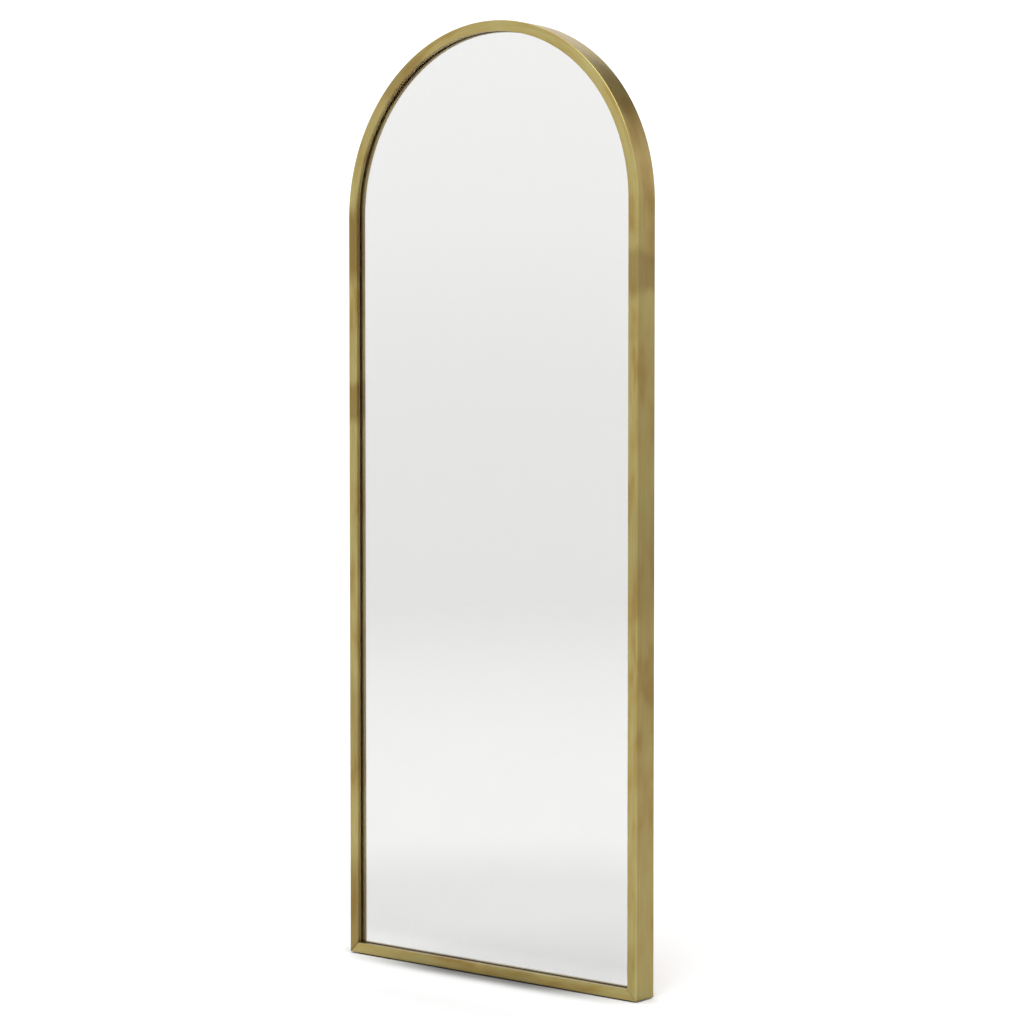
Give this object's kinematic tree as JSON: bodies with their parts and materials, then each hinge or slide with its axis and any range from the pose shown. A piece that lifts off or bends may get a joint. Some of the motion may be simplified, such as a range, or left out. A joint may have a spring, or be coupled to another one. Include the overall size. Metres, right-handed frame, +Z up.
{
  "type": "leaning floor mirror",
  "caption": "Full-length arched mirror in a deep, narrow metal frame with a mitred bottom rail; stands or leans on the floor, with swinging D-rings on its back board.",
  "frame": {"origin": "on the floor, under the middle of the mirror's width and depth", "axes": "-Y is the front, which the glass faces; +Y is towards the wall; +Z is up, along the mirror's height; +X is to the right as seen from the front"},
  "size_m": [0.66, 0.054, 1.6903],
  "materials": {
    "aged_brass": "brushed antique brass finish on the metal profile, satin, with warmer and darker patches",
    "silvered_glass": "clear float glass silvered on its back",
    "black_rubber": "matt black rubber",
    "safety_film": "grey film bonded to the glass",
    "white_foam": "thin white expanded foam",
    "fibreboard": "bare medium-density fibreboard",
    "zinc_plate": "bright zinc plate on pressed steel",
    "bright_nickel": "nickel-plated steel wire"
  },
  "bodies": {
    "mirror": {"back_board": "fibreboard", "bottom_rail": "aged_brass", "clip_bottom": "zinc_plate", "clip_head_left": "zinc_plate", "clip_head_right": "zinc_plate", "clip_left_lower": "zinc_plate", "clip_left_middle": "zinc_plate", "clip_left_upper": "zinc_plate", "clip_right_lower": "zinc_plate", "clip_right_middle": "zinc_plate", "clip_right_upper": "zinc_plate", "clip_screw_bottom": "zinc_plate", "clip_screw_head_left": "zinc_plate", "clip_screw_head_right": "zinc_plate", "clip_screw_left_lower": "zinc_plate", "clip_screw_left_middle": "zinc_plate", "clip_screw_left_upper": "zinc_plate", "clip_screw_right_lower": "zinc_plate", "clip_screw_right_middle": "zinc_plate", "clip_screw_right_upper": "zinc_plate", "corner_key_left": "zinc_plate", "corner_key_right": "zinc_plate", "corner_plate_left": "zinc_plate", "corner_plate_right": "zinc_plate", "corner_screw_left_1": "zinc_plate", "corner_screw_left_2": "zinc_plate", "corner_screw_left_3": "zinc_plate", "corner_screw_left_4": "zinc_plate", "corner_screw_right_1": "zinc_plate", "corner_screw_right_2": "zinc_plate", "corner_screw_right_3": "zinc_plate", "corner_screw_right_4": "zinc_plate", "foam_sheet": "white_foam", "foot_left": "black_rubber", "foot_right": "black_rubber", "frame_arch": "aged_brass", "glazing_gasket": "black_rubber", "hanger_screw_left_1": "zinc_plate", "hanger_screw_left_2": "zinc_plate", "hanger_screw_right_1": "zinc_plate", "hanger_screw_right_2": "zinc_plate", "hanger_strap_left": "zinc_plate", "hanger_strap_right": "zinc_plate", "mirror_glass": "silvered_glass", "safety_film": "safety_film", "setting_block_left": "black_rubber", "setting_block_right": "black_rubber", "side_spacer_left_lower": "black_rubber", "side_spacer_left_upper": "black_rubber", "side_spacer_right_lower": "black_rubber", "side_spacer_right_upper": "black_rubber", "wall_bumper_lower_left": "black_rubber", "wall_bumper_lower_right": "black_rubber", "wall_bumper_upper_left": "black_rubber", "wall_bumper_upper_right": "black_rubber"},
    "ring_left": {"d_ring_left": "bright_nickel"},
    "ring_right": {"d_ring_right": "bright_nickel"}
  },
  "joints": [
    {"name": "ring_swing_left", "type": "hinge", "parent": "mirror", "child": "ring_left", "pos_m": [-0.255, 0.00343, 1.3303], "axis": [1, 0, 0], "range_deg": [0, 180]},
    {"name": "ring_swing_right", "type": "hinge", "parent": "mirror", "child": "ring_right", "pos_m": [0.255, 0.00343, 1.3303], "axis": [1, 0, 0], "range_deg": [0, 180]}
  ]
}
